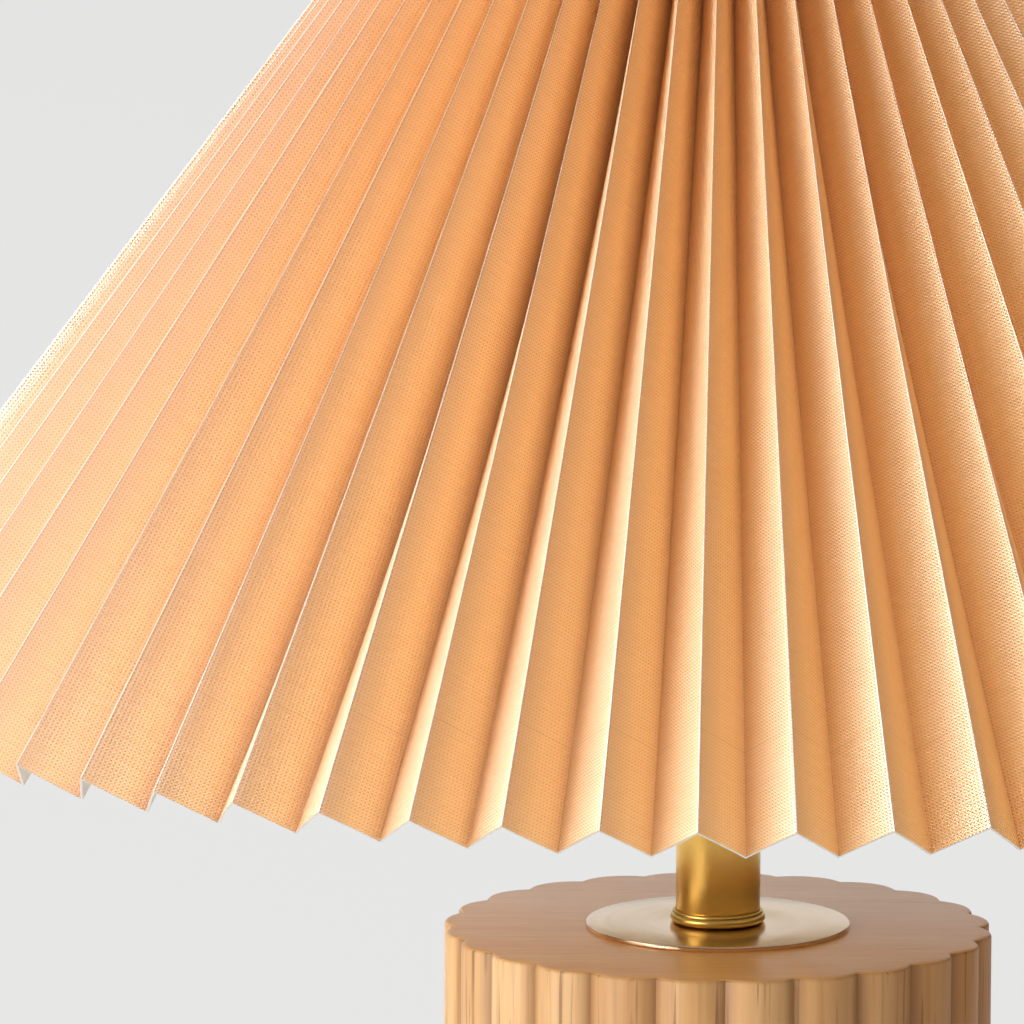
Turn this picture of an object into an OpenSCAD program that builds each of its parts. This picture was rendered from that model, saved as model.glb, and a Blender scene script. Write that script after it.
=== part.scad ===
// Table lamp with a fluted wooden base, a short brass neck and a wide pleated shade.
// Millimetres. The flat underside lies at z = 0 and the lamp stands along the Z axis.

/* [Wooden base] */
// Height of the wooden base without its foot pad
base_h = 148.5; // [110:0.5:200]
// Radius over the crests of the lobes
crest_r = 52; // [48:0.5:64]
// Depth of the grooves between the lobes
groove_depth = 2.1; // [1:0.1:3]
// Number of lobes round the base
lobe_count = 24; // [16:4:32]
// Chamfer along the top and bottom edges of each lobe
base_edge = 0.8; // [0.4:0.1:1.5]
// Radius of the recess in the underside
recess_r = 38; // [34:0.5:40]
// Depth of the recess in the underside
recess_depth = 33; // [30:0.5:45]

/* [Foot pad and weight] */
// Thickness of the foot pad
pad_t = 1.5; // [1:0.25:3]
// How far the foot pad stays inside the grooves
pad_inset = 2; // [1:0.5:5]
// Thickness of the weight in the recess
weight_t = 14; // [10:0.5:16]
// Gap round the weight
weight_gap = 1; // [0.5:0.25:2]

/* [Cord inlet] */
// Radius of the hole that the cord passes through
inlet_bore_r = 3.4; // [2.5:0.1:4]
// Wall of the inlet bush
inlet_wall = 1.6; // [1:0.1:2]
// Radius of the flange of the inlet bush
inlet_flange_r = 7; // [6.5:0.25:8]
// Thickness of the flange of the inlet bush
inlet_flange_t = 1.5; // [1:0.25:2.5]
// Height of the cord inlet above the underside
inlet_z = 11; // [10:0.5:12]
// How deep the seat of the flange is cut behind the grooves
inlet_seat_cut = 1.2; // [0.8:0.1:2]

/* [Threaded tube] */
// Outer radius of the threaded tube
rod_r = 5; // [4.5:0.25:5.25]
// Bore radius of the threaded tube
rod_bore_r = 3.5; // [3:0.25:4]
// How far the threaded tube stands out below its nut
rod_tail = 1.5; // [0.5:0.5:2]
// Width of the nut across its flats
nut_w = 14; // [13:0.5:17]
// Height of the nut
nut_h = 5; // [3:0.5:6]
// Outer radius of the washer under the weight
washer_r = 11; // [9.5:0.5:14]
// Thickness of the washer under the weight
washer_t = 1.2; // [0.8:0.2:2]

/* [Brass neck] */
// Radius of the seat disc
disc_r = 25; // [15:0.5:35]
// Thickness of the seat disc
disc_t = 1; // [0.8:0.1:2]
// Outer radius of the neck tube
neck_r = 8; // [7.5:0.25:10]
// Wall of the neck tube
neck_wall = 1; // [0.6:0.1:1.5]
// Length of the neck tube
neck_len = 49; // [40:0.5:60]
// Height of the bead round the foot of the neck
bead_h = 2.4; // [1.6:0.1:4]
// How far the bead stands out from the neck
bead_out = 1; // [0.6:0.1:1.5]
// Outer radius of the cap on the top of the neck
neck_cap_r = 10; // [9:0.25:11]
// Thickness of the cap on the top of the neck
neck_cap_t = 1.6; // [1:0.1:2.5]
// How far the cap reaches down into the neck
neck_cap_plug = 2; // [1:0.5:4]

/* [Lampholder] */
// Outer radius of the threaded skirt, which the shade turns on
skirt_r = 20; // [19:0.25:21]
// Wall of the threaded skirt
skirt_wall = 2.4; // [1.8:0.1:2.8]
// Height of the skirt above the holder's cap
skirt_h = 36; // [32:0.5:42]
// Height of the holder's cap
cap_h = 24.4; // [23:0.2:28]
// Outer radius of the rim of the holder's cap
cap_rim_r = 21.5; // [21:0.25:23]
// Height of the boss that takes the threaded tube
cap_boss_h = 9; // [7:0.5:10]
// Length of the skirt's neck inside the cap
skirt_neck_h = 7; // [5:0.5:8]
// Number of grip grooves round the cap
cap_groove_count = 20; // [12:4:28]

/* [Shade rings] */
// Outer radius of the two rings that clamp the shade
ring_flange_r = 26; // [24:0.5:28]
// Thickness of the flange of each ring
ring_flange_t = 2; // [1.5:0.25:3]
// Height of the threaded collar of each ring
ring_collar_h = 3; // [2:0.25:5]
// Wall of the threaded collar of each ring
ring_collar_wall = 2.4; // [1.6:0.2:3]
// Number of grip notches round each ring
ring_notch_count = 18; // [12:2:24]
// Height of the lower ring's flange above the holder's cap
clamp_lift = 12; // [9:0.5:16]

/* [Bulb] */
// Radius of the bulb's glass
bulb_r = 30; // [22.5:0.5:32]
// Length of the bulb from its contact to the top of the glass
bulb_len = 105; // [96:1:110]
// Thickness of the glass
glass_t = 0.8; // [0.6:0.1:1.2]
// Outer radius of the bulb's screw cap
bulb_cap_r = 13.1; // [13:0.05:13.15]

/* [Pleated shade] */
// Radius over the ridges of the pleats at the hem
hem_r = 170; // [150:1:190]
// Radius over the ridges of the pleats at the top
top_r = 52; // [50:1:60]
// Height from the hem to the top, along the axis
shade_h = 159; // [150:1:175]
// Height of the ridge ends at the hem above the wooden base
hem_lift = 51.8; // [48:0.2:56]
// Number of pleats round the shade
pleat_count = 60; // [54:6:66]
// Width of each flat side of a pleat
panel_w = 13.35; // [12:0.05:14.5]
// Thickness of the fabric with its backing
skin_t = 0.45; // [0.3:0.05:0.6]

/* [Shade frame] */
// Radius of the ring wires
ring_wire_r = 1.5; // [1:0.1:2]
// Radius of the upright wires
rib_wire_r = 1.25; // [1:0.05:1.5]
// Radius of the arm wires
arm_wire_r = 1.5; // [1:0.1:2]
// Distance of the lower ring from the hem, along the slope
lower_ring_in = 21; // [12:0.5:30]
// Distance of the upper ring from the top, along the slope
upper_ring_in = 8; // [5:0.5:14]
// Outer radius of the fitter ring
fitter_r = 29; // [28:0.5:32]
// Thickness of the fitter ring
fitter_t = 2; // [1.5:0.25:3]

/* [Fits] */
// Running gap between the fitter ring and the skirt
swivel_gap = 0.08; // [0.04:0.01:0.1]
// Gap above and below the fitter ring between the shade rings
clamp_gap = 0.05; // [0.03:0.01:0.1]
// Gap between threads that are screwed together
thread_gap = 0.05; // [0.03:0.01:0.1]
// Gap round the threaded tube in plain holes
rod_gap = 0.4; // [0.2:0.1:0.6]
// Gap between parts that are pushed together
push_gap = 0.04; // [0.02:0.01:0.1]
// Gap between the pleats and the ring wires
seat_gap = 0.15; // [0.1:0.05:0.3]

/* [Hidden] */
$fn = 96;
eps = 0.5;

// Heights of the stack from the floor up
base_top = pad_t + base_h;
recess_top = pad_t + recess_depth;
washer_z = recess_top - weight_t - washer_t;
nut_z = washer_z - nut_h;
rod_z = nut_z - rod_tail;
neck_z = base_top + disc_t;
neck_top = neck_z + neck_len;
cap_z = neck_top + neck_cap_t;
rod_top = cap_z + cap_boss_h;
cap_top = cap_z + cap_h;
skirt_top = cap_top + skirt_h;

// The lobes are arcs that meet in sharp grooves
groove_r = crest_r - groove_depth;
half_lobe = 180 / lobe_count;
lobe_chord = groove_r * sin(half_lobe);
lobe_rise = crest_r - groove_r * cos(half_lobe);
lobe_r = (lobe_chord ^ 2 + lobe_rise ^ 2) / (2 * lobe_rise);
lobe_pos = crest_r - lobe_r;
core_r = groove_r - 3 * base_edge;
rod_hole_r = rod_r + rod_gap;
nut_bore_r = rod_r + thread_gap;

// Cord inlet at the back, in the groove that faces +Y
inlet_r = inlet_bore_r + inlet_wall;
inlet_seat = groove_r - inlet_seat_cut;
inlet_tail = 1;
inlet_inner = recess_r - inlet_tail;

// Grip grooves of the cap and grip notches of the shade rings
cap_groove_r = 1.2;
cap_groove_pos = cap_rim_r + cap_groove_r / 2;
notch_r = 1.3;
notch_pos = ring_flange_r + notch_r / 2;

// Lampholder interior
cap_wall = 3;
cap_inner_r = cap_rim_r - cap_wall - push_gap;
core_flange_t = 3;
core_flange_z = cap_top - skirt_neck_h - core_flange_t - push_gap;
core_flange_r = cap_inner_r - push_gap;
core_ledge = 2.5;
wiring_r = core_flange_r - core_ledge;
skirt_neck_r = cap_inner_r - thread_gap;
skirt_neck_wall = 2.2;
core_r_body = skirt_neck_r - skirt_neck_wall - push_gap;
core_rise = 9;
core_top = cap_top + core_rise;
shell_gap = 0.15;
shell_r = bulb_cap_r + shell_gap;
shell_t = 0.4;
shell_sink = 2;
shell_z = cap_top - shell_sink;
shell_h = 26;
leaf_t = 0.5;
leaf_w = 6;
leaf_l = 14;
leaf_rise = 3;
skirt_lip = 0.8;

// Screws of the lampholder
grub_r = 1.5;
grub_len = 5;
terminal_pos = 8;
terminal_r = 1.75;
terminal_len = 4;
terminal_head_r = 3;
terminal_head_h = 1.8;
slot_w = 0.6;
slot_depth = 0.7;

// The fitter ring lies between the flanges of the two shade rings
clamp_z = cap_top + clamp_lift;
fitter_z = clamp_z + clamp_gap;
upper_clamp_z = fitter_z + fitter_t + clamp_gap;
fitter_bore_r = skirt_r + swivel_gap;
arm_z = fitter_z + fitter_t / 2;

// Bulb, standing on the leaf contact
bulb_z = shell_z + leaf_rise + leaf_t;
bulb_tip_h = 1.2;
bulb_tip_r = 4.5;
bulb_tip_ease = 1.5;
bulb_insulator_h = 4;
bulb_insulator_ease = 0.5;
bulb_cap_z = bulb_z + bulb_tip_h + bulb_insulator_h;
bulb_cap_h = 21;
bulb_cap_wall = 0.3;
bulb_cap_floor = 4;
bulb_cap_bevel = 1;
glass_z = bulb_cap_z + bulb_cap_h;
glass_neck_r = bulb_cap_r - bulb_cap_wall - push_gap;
glass_tuck = 5;
glass_straight = 1;
bulb_mid = bulb_z + bulb_len - bulb_r;
ball_from = -40;
stem_r = 3;
stem_rise = 12;
stem_flare = 3;
stem_foot_h = 1;
stem_top = bulb_mid + stem_rise;
stem_foot = glass_z + stem_flare;
filament_r = 0.9;
filament_drop = 24;
filament_ring_h = 2;
filament_ring_wall = 0.6;
filament_low_r = 8;
filament_high_r = 6;
filament_wire_r = 0.5;
filament_count = 4;
filament_turn = 180 / filament_count;
filament_low = bulb_mid - filament_drop;
filament_high = stem_top - stem_foot_h - filament_ring_h;

// Shade: the ridges are straight, and the pleats grow deeper as they close up
hem_z = base_top + hem_lift;
slope = atan((hem_r - top_r) / shade_h);
slant = sqrt((hem_r - top_r) ^ 2 + shade_h ^ 2);
half_pleat = 180 / pleat_count;
skin_rows = 4;
function ridge_r(s) = hem_r - s * sin(slope);
function ridge_z(s) = hem_z + s * cos(slope);
// Depth at which both sides of a pleat keep their width, square to the slope
function fold_k(s) = 2 * ridge_r(s) * (1 - cos(half_pleat));
function fold_b(s) = fold_k(s) * cos(slope);
function fold_c(s) = panel_w ^ 2 - fold_k(s) * ridge_r(s);
function depth(s) = (fold_b(s) + sqrt(fold_b(s) ^ 2 + 4 * fold_c(s))) / 2;
// Thickness of the folded sheet, measured through a crease
function crease(s) = skin_t * panel_w / ((ridge_r(s) - depth(s) * cos(slope)) * sin(half_pleat));
// Radius and height of a point that lies a given distance in from the ridges
function inward(s, d) = [ridge_r(s) - d * cos(slope), ridge_z(s) - d * sin(slope)];
function turned(p, a) = [p[0] * cos(a), p[0] * sin(a), p[1]];

// Six upright wires, each behind a ridge, and three arms halfway between them
rib_count = 6;
arm_count = 3;

// Centre of a ring wire that rests against the backs of the pleats
function ring_centre(s) = inward(s, depth(s) + crease(s) + seat_gap + ring_wire_r);
lower_ring = ring_centre(lower_ring_in);
upper_ring = ring_centre(slant - upper_ring_in);
rib_turn = half_pleat;
arm_turn = half_pleat + 180 / rib_count;

// A flat ring or a disc with a hole
module washer(outer, inner, t) {
    difference() {
        cylinder(r = outer, h = t);
        translate([0, 0, -eps]) cylinder(r = inner, h = t + 2 * eps);
    }
}

// A straight round wire between two points given as radius and height, at a turn about the axis
module wire(a, b, r, turn) {
    run = b[0] - a[0];
    rise = b[1] - a[1];
    rotate([0, 0, turn]) translate([a[0], 0, a[1]]) rotate([0, atan2(run, rise), 0])
        cylinder(r = r, h = sqrt(run ^ 2 + rise ^ 2), $fn = 32);
}

// A round wire bent to a ring
module wire_ring(c, r) {
    translate([0, 0, c[1]]) rotate_extrude() translate([c[0], 0]) circle(r = r, $fn = 32);
}

// Felt disc glued under the base
module foot_pad() {
    color("dimgray") cylinder(r = groove_r - pad_inset, h = pad_t);
}

// Outline of the base, a ring of arcs that meet in sharp grooves
module lobe_outline() {
    circle(r = core_r);
    for (i = [0 : lobe_count - 1]) rotate((2 * i + 1) * half_lobe) translate([lobe_pos, 0])
        circle(r = lobe_r);
}

// Turned and fluted wooden base with a bore for the tube and a recess for the weight
module base_body() {
    color("burlywood") difference() {
        translate([0, 0, pad_t]) intersection() {
            linear_extrude(height = base_h) lobe_outline();
            rotate_extrude() polygon([
                [0, 0], [crest_r - base_edge, 0], [crest_r + eps, base_edge + eps],
                [crest_r + eps, base_h - base_edge - eps], [crest_r - base_edge, base_h], [0, base_h]
            ]);
        }
        translate([0, 0, -eps]) cylinder(r = recess_r, h = recess_top + eps);
        cylinder(r = rod_hole_r, h = base_top + eps);
        translate([0, inlet_seat, inlet_z]) rotate([-90, 0, 0])
            cylinder(r = inlet_flange_r + push_gap, h = crest_r);
        translate([0, recess_r / 2, inlet_z]) rotate([-90, 0, 0])
            cylinder(r = inlet_r + push_gap, h = crest_r);
    }
}

// Cast iron ring that keeps the lamp from tipping
module base_weight() {
    color("dimgray") translate([0, 0, recess_top - weight_t])
        washer(recess_r - weight_gap, rod_hole_r, weight_t);
}

// Steel washer that carries the weight
module rod_washer() {
    color("silver") translate([0, 0, washer_z]) washer(washer_r, rod_hole_r, washer_t);
}

// Hexagon nut that clamps the whole stack from below
module rod_nut() {
    color("silver") translate([0, 0, nut_z]) difference() {
        cylinder(r = nut_w / 2 / cos(30), h = nut_h, $fn = 6);
        translate([0, 0, -eps]) cylinder(r = nut_bore_r, h = nut_h + 2 * eps);
    }
}

// Hollow threaded tube from the recess up into the lampholder
module threaded_tube() {
    color("silver") translate([0, 0, rod_z]) washer(rod_r, rod_bore_r, rod_top - rod_z);
}

// Flanged bush that lines the hole for the cord
module cord_inlet() {
    color("saddlebrown") translate([0, 0, inlet_z]) rotate([-90, 0, 0]) difference() {
        union() {
            translate([0, 0, inlet_inner]) cylinder(r = inlet_r, h = inlet_seat - inlet_inner + eps);
            translate([0, 0, inlet_seat]) cylinder(r = inlet_flange_r, h = inlet_flange_t);
        }
        cylinder(r = inlet_bore_r, h = crest_r + inlet_flange_t);
    }
}

// Brass disc between the neck and the wood, with eased edges
module seat_disc() {
    ease = disc_t / 4;
    color("goldenrod") translate([0, 0, base_top]) rotate_extrude() polygon([
        [rod_hole_r, 0], [disc_r - ease, 0], [disc_r, ease],
        [disc_r, disc_t - ease], [disc_r - ease, disc_t], [rod_hole_r, disc_t]
    ]);
}

// Rounded brass bead round the foot of the neck
module neck_bead() {
    round_r = bead_h / 2;
    color("goldenrod") translate([0, 0, neck_z]) rotate_extrude() difference() {
        translate([neck_r + bead_out - round_r, round_r]) circle(r = round_r, $fn = 48);
        square([neck_r + push_gap, bead_h]);
    }
}

// Satin brass tube
module neck_tube() {
    color("goldenrod") translate([0, 0, neck_z]) washer(neck_r, neck_r - neck_wall, neck_len);
}

// Turned brass cap that centres the tube on the neck
module neck_cap() {
    color("goldenrod") difference() {
        union() {
            translate([0, 0, neck_top]) cylinder(r = neck_cap_r, h = neck_cap_t);
            translate([0, 0, neck_top - neck_cap_plug])
                cylinder(r = neck_r - neck_wall - push_gap, h = neck_cap_plug + eps);
        }
        translate([0, 0, neck_top - neck_cap_plug - eps]) cylinder(r = rod_hole_r, h = cap_z);
    }
}

// Domed cap of the lampholder, screwed on the threaded tube
module holder_cap() {
    dome_h = cap_h / 2;
    dome_out = cap_rim_r - neck_cap_r;
    grub_z = cap_z + cap_boss_h / 2;
    color("whitesmoke") difference() {
        translate([0, 0, cap_z]) rotate_extrude() polygon(concat(
            [[0, 0]],
            [for (a = [0 : 10 : 90]) [neck_cap_r + dome_out * sin(a), dome_h * (1 - cos(a))]],
            [[cap_rim_r, cap_h], [0, cap_h]]
        ));
        cylinder(r = nut_bore_r, h = cap_top);
        translate([0, 0, rod_top]) cylinder(r = wiring_r, h = cap_h);
        translate([0, 0, core_flange_z]) cylinder(r = cap_inner_r, h = cap_h);
        translate([0, 0, grub_z]) rotate([0, 90, 0]) cylinder(r = grub_r + thread_gap, h = cap_rim_r);
        for (i = [0 : cap_groove_count - 1]) rotate([0, 0, (i + 0.5) * 360 / cap_groove_count])
            translate([cap_groove_pos, 0, cap_z + dome_h])
                cylinder(r = cap_groove_r, h = cap_h, $fn = 24);
    }
}

// Slot for a screwdriver, cut down from z = 0 across a head of the given radius
module slot(r) {
    translate([0, 0, eps / 2 - slot_depth / 2])
        cube([slot_w, 2 * r + eps, slot_depth + eps], center = true);
}

// Small screw that locks the cap on the threaded tube
module holder_grub_screw() {
    color("silver") translate([rod_r + push_gap, 0, cap_z + cap_boss_h / 2]) rotate([0, 90, 0])
        difference() {
            cylinder(r = grub_r, h = grub_len, $fn = 32);
            translate([0, 0, grub_len]) slot(grub_r);
        }
}

// Insulating core that sits in the cap and holds the contacts
module holder_core() {
    pocket_r = shell_r + shell_t + push_gap;
    color("white") difference() {
        union() {
            translate([0, 0, core_flange_z]) cylinder(r = core_flange_r, h = core_flange_t);
            translate([0, 0, core_flange_z]) cylinder(r = core_r_body, h = core_top - core_flange_z);
        }
        translate([0, 0, shell_z]) cylinder(r = pocket_r, h = core_top);
        for (x = [-1, 1]) translate([x * terminal_pos, 0, core_flange_z - eps])
            cylinder(r = terminal_r + thread_gap, h = terminal_len + eps, $fn = 32);
    }
}

// Two terminal screws under the core
module terminal_screws() {
    color("goldenrod") for (x = [-1, 1]) translate([x * terminal_pos, 0, core_flange_z]) difference() {
        union() {
            translate([0, 0, -terminal_head_h])
                cylinder(r = terminal_head_r, h = terminal_head_h, $fn = 32);
            cylinder(r = terminal_r, h = terminal_len - push_gap, $fn = 32);
        }
        translate([0, 0, -terminal_head_h]) mirror([0, 0, 1]) slot(terminal_head_r);
    }
}

// Brass shell that takes the screw cap of the bulb
module screw_shell() {
    color("goldenrod") translate([0, 0, shell_z]) washer(shell_r + shell_t, shell_r, shell_h);
}

// Sprung leaf that touches the centre of the bulb
module centre_contact() {
    color("goldenrod") translate([0, 0, shell_z]) {
        translate([-leaf_l / 2, -leaf_w / 2, 0]) cube([leaf_l, leaf_w, leaf_t]);
        translate([-leaf_l / 2, -leaf_w / 2, 0]) cube([leaf_t, leaf_w, leaf_rise + leaf_t]);
        translate([-leaf_l / 2, -leaf_w / 2, leaf_rise]) cube([leaf_l * 0.8, leaf_w, leaf_t]);
    }
}

// Threaded skirt that closes the lampholder and carries the shade rings
module holder_skirt() {
    color("whitesmoke") rotate_extrude() polygon([
        [skirt_neck_r - skirt_neck_wall, cap_top - skirt_neck_h],
        [skirt_neck_r, cap_top - skirt_neck_h],
        [skirt_neck_r, cap_top],
        [skirt_r, cap_top],
        [skirt_r, skirt_top - skirt_lip],
        [skirt_r - skirt_lip, skirt_top],
        [skirt_r - skirt_wall, skirt_top],
        [skirt_r - skirt_wall, core_top],
        [skirt_neck_r - skirt_neck_wall, core_top]
    ]);
}

// One shade ring, a flange with a threaded collar on one side and a notched rim
module shade_ring() {
    bore_r = skirt_r + thread_gap;
    difference() {
        union() {
            cylinder(r = ring_flange_r, h = ring_flange_t);
            cylinder(r = bore_r + ring_collar_wall, h = ring_flange_t + ring_collar_h);
        }
        translate([0, 0, -eps]) cylinder(r = bore_r, h = ring_flange_t + ring_collar_h + 2 * eps);
        for (i = [0 : ring_notch_count - 1]) rotate([0, 0, i * 360 / ring_notch_count])
            translate([notch_pos, 0, -eps])
                cylinder(r = notch_r, h = ring_flange_t + 2 * eps, $fn = 24);
    }
}

// The two rings that hold the shade on the skirt
module shade_rings() {
    color("whitesmoke") {
        translate([0, 0, clamp_z]) mirror([0, 0, 1]) shade_ring();
        translate([0, 0, upper_clamp_z]) shade_ring();
    }
}

// Outline of the glass: a straight neck, a swelling shoulder and a ball
function shoulder(u, p, q) = [
    p[0] + (q[0] - p[0]) * u ^ 2 * (3 - 2 * u),
    p[1] + (q[1] - p[1]) * u
];
function glass_line(off) =
    let (r = bulb_r - off)
    let (p = [glass_neck_r - off, glass_z + glass_straight])
    let (q = [r * cos(ball_from), bulb_mid + r * sin(ball_from)])
    concat(
        [[glass_neck_r - off, glass_z - glass_tuck]],
        [for (i = [0 : 9]) shoulder(i / 10, p, q)],
        [for (a = [ball_from : 10 : 80]) [r * cos(a), bulb_mid + r * sin(a)]],
        [[0, bulb_mid + r]]
    );

// Glass envelope of the bulb
module bulb_glass() {
    outer = glass_line(0);
    inner = glass_line(glass_t);
    last = len(inner) - 1;
    color("ghostwhite") rotate_extrude()
        polygon(concat(outer, [for (i = [last : -1 : 0]) inner[i]]));
}

// Screw cap of the bulb
module bulb_cap() {
    inner_r = bulb_cap_r - bulb_cap_wall;
    color("silver") translate([0, 0, bulb_cap_z]) rotate_extrude() polygon([
        [bulb_cap_r - bulb_cap_floor, 0], [bulb_cap_r - bulb_cap_bevel, 0],
        [bulb_cap_r, 2 * bulb_cap_bevel], [bulb_cap_r, bulb_cap_h], [inner_r, bulb_cap_h],
        [inner_r, 2 * bulb_cap_bevel], [inner_r - bulb_cap_bevel, bulb_cap_wall],
        [bulb_cap_r - bulb_cap_floor, bulb_cap_wall]
    ]);
}

// Dark glass cone between the screw cap and the centre contact
module bulb_insulator() {
    color("black") translate([0, 0, bulb_z + bulb_tip_h])
        cylinder(r1 = bulb_tip_r + bulb_insulator_ease, r2 = bulb_cap_r - 2 * bulb_cap_bevel,
            h = bulb_insulator_h);
}

// Centre contact of the bulb
module bulb_contact() {
    color("silver") translate([0, 0, bulb_z])
        cylinder(r1 = bulb_tip_r - bulb_tip_ease, r2 = bulb_tip_r, h = bulb_tip_h);
}

// Glass stem on its flared foot, sealed into the neck of the bulb
module bulb_stem() {
    foot_r = glass_neck_r - glass_t - push_gap;
    color("ghostwhite") rotate_extrude() polygon([
        [0, glass_z - glass_tuck], [foot_r, glass_z - glass_tuck],
        [foot_r, glass_z - glass_tuck + stem_foot_h],
        [stem_r, stem_foot], [stem_r, stem_top], [0, stem_top]
    ]);
}

// Wire spiders that carry the filaments, one low and one high on the stem
module filament_spider(z, reach) {
    wire_from = stem_r + filament_ring_wall / 2;
    translate([0, 0, z]) {
        washer(stem_r + filament_ring_wall, stem_r + push_gap, filament_ring_h);
        for (i = [0 : filament_count - 1]) rotate([0, 0, filament_turn + i * 360 / filament_count])
            translate([wire_from, 0, filament_ring_h / 2]) rotate([0, 90, 0])
                cylinder(r = filament_wire_r, h = reach - wire_from, $fn = 16);
    }
}
module filament_spiders() {
    filament_spider(filament_low, filament_low_r);
    filament_spider(filament_high, filament_high_r);
}
module filament_wires() {
    color("silver") filament_spiders();
}

// Straight light-giving filaments between the spiders
module bulb_filaments() {
    low = filament_low + filament_ring_h / 2 + filament_wire_r;
    high = filament_high + filament_ring_h / 2 - filament_wire_r;
    inset = filament_r / 2;
    color("gold") for (i = [0 : filament_count - 1])
        difference() {
            wire([filament_low_r - inset, low], [filament_high_r - inset, high], filament_r,
                filament_turn + i * 360 / filament_count);
            filament_spiders();
        }
}

// Flat ring that turns on the skirt between the shade rings
module fitter_ring() {
    color("white") translate([0, 0, fitter_z]) washer(fitter_r, fitter_bore_r, fitter_t);
}

// Wire arm from the fitter ring out and down to the lower ring, ends ground to fit both
module fitter_arm(i) {
    color("white") difference() {
        wire([fitter_r - arm_wire_r, arm_z], lower_ring, arm_wire_r, arm_turn + i * 360 / arm_count);
        translate([0, 0, arm_z])
            cylinder(r = fitter_r, h = 4 * (arm_wire_r + fitter_t), center = true);
        wire_ring(lower_ring, ring_wire_r);
    }
}

// Lower ring of the frame, inside the hem
module lower_frame_ring() {
    color("white") wire_ring(lower_ring, ring_wire_r);
}

// Upper ring of the frame, inside the top edge
module upper_frame_ring() {
    color("white") wire_ring(upper_ring, ring_wire_r);
}

// Upright wire between the rings, behind a ridge
module rib(i) {
    color("white") difference() {
        wire(lower_ring, upper_ring, rib_wire_r, rib_turn + i * 360 / rib_count);
        wire_ring(lower_ring, ring_wire_r);
        wire_ring(upper_ring, ring_wire_r);
    }
}

// Pleated fabric on a stiff backing, folded into a cone of equal panels
module pleated_skin() {
    n = 2 * pleat_count;
    outer = [
        for (row = [0 : skin_rows])
            let (s = slant * row / skin_rows)
            for (i = [0 : n - 1])
                turned(inward(s, i % 2 == 0 ? depth(s) : 0), i * half_pleat)
    ];
    inner = [
        for (row = [0 : skin_rows])
            let (s = slant * row / skin_rows)
            for (i = [0 : n - 1])
                turned(inward(s, crease(s) + (i % 2 == 0 ? depth(s) : 0)), i * half_pleat)
    ];
    back = len(outer);
    top = skin_rows * n;
    sides = [
        for (row = [0 : skin_rows - 1])
            for (i = [0 : n - 1])
                let (a = row * n + i, b = row * n + (i + 1) % n)
                let (c = a + n, d = b + n)
                each [
                    [a, c, b], [b, c, d],
                    [back + a, back + b, back + c], [back + b, back + d, back + c]
                ]
    ];
    rims = [
        for (i = [0 : n - 1])
            let (j = (i + 1) % n)
            each [
                [i, j, back + i], [j, back + j, back + i],
                [top + i, back + top + i, top + j], [top + j, back + top + i, back + top + j]
            ]
    ];
    color("peachpuff") polyhedron(points = concat(outer, inner), faces = concat(sides, rims));
}

foot_pad();
base_body();
base_weight();
rod_washer();
rod_nut();
threaded_tube();
cord_inlet();
seat_disc();
neck_bead();
neck_tube();
neck_cap();
holder_cap();
holder_grub_screw();
holder_core();
terminal_screws();
screw_shell();
centre_contact();
holder_skirt();
shade_rings();
bulb_glass();
bulb_cap();
bulb_insulator();
bulb_contact();
bulb_stem();
filament_wires();
bulb_filaments();
fitter_ring();
fitter_arm(0);  // fitter_arm_1
fitter_arm(1);  // fitter_arm_2
fitter_arm(2);  // fitter_arm_3
lower_frame_ring();  // lower_ring
upper_frame_ring();  // upper_ring
rib(0);  // rib_1
rib(1);  // rib_2
rib(2);  // rib_3
rib(3);  // rib_4
rib(4);  // rib_5
rib(5);  // rib_6
pleated_skin();
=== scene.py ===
import math
import random

import bmesh
import bpy
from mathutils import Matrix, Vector


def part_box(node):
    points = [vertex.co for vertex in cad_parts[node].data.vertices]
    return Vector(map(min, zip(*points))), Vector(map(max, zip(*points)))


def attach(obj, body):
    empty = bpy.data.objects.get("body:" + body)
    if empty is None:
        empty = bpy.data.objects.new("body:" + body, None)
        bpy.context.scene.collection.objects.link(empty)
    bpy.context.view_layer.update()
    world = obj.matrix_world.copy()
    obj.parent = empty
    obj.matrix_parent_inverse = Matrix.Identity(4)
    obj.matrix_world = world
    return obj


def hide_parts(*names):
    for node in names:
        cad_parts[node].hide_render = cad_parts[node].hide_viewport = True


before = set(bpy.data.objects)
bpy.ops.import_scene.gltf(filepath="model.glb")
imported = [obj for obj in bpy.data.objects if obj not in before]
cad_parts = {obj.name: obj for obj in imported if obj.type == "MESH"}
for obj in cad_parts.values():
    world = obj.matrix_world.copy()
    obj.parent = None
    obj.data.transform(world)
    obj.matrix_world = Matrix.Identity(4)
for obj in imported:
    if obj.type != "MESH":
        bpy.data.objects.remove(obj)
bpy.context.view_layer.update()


# Foot pad: a disc of dense dark felt, die-cut and glued under the wood.
# It is a little smaller than the base, so that it stays out of sight, and its cut edge is soft.
def deselect():
    bpy.ops.object.select_all(action="DESELECT")


def work_on(obj):
    """Makes a piece the only one selected, and the active one."""
    deselect()
    obj.select_set(True)
    bpy.context.view_layer.objects.active = obj


def choose(kind, test):
    """In edit mode, selects only the vertices, edges or faces that pass the test."""
    bpy.ops.mesh.select_mode(type=kind)
    bpy.ops.mesh.select_all(action="DESELECT")
    shape = bmesh.from_edit_mesh(bpy.context.object.data)
    for part in {"VERT": shape.verts, "EDGE": shape.edges, "FACE": shape.faces}[kind]:
        part.select_set(test(part))
    shape.select_flush_mode()
    bmesh.update_edit_mesh(bpy.context.object.data)


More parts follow.
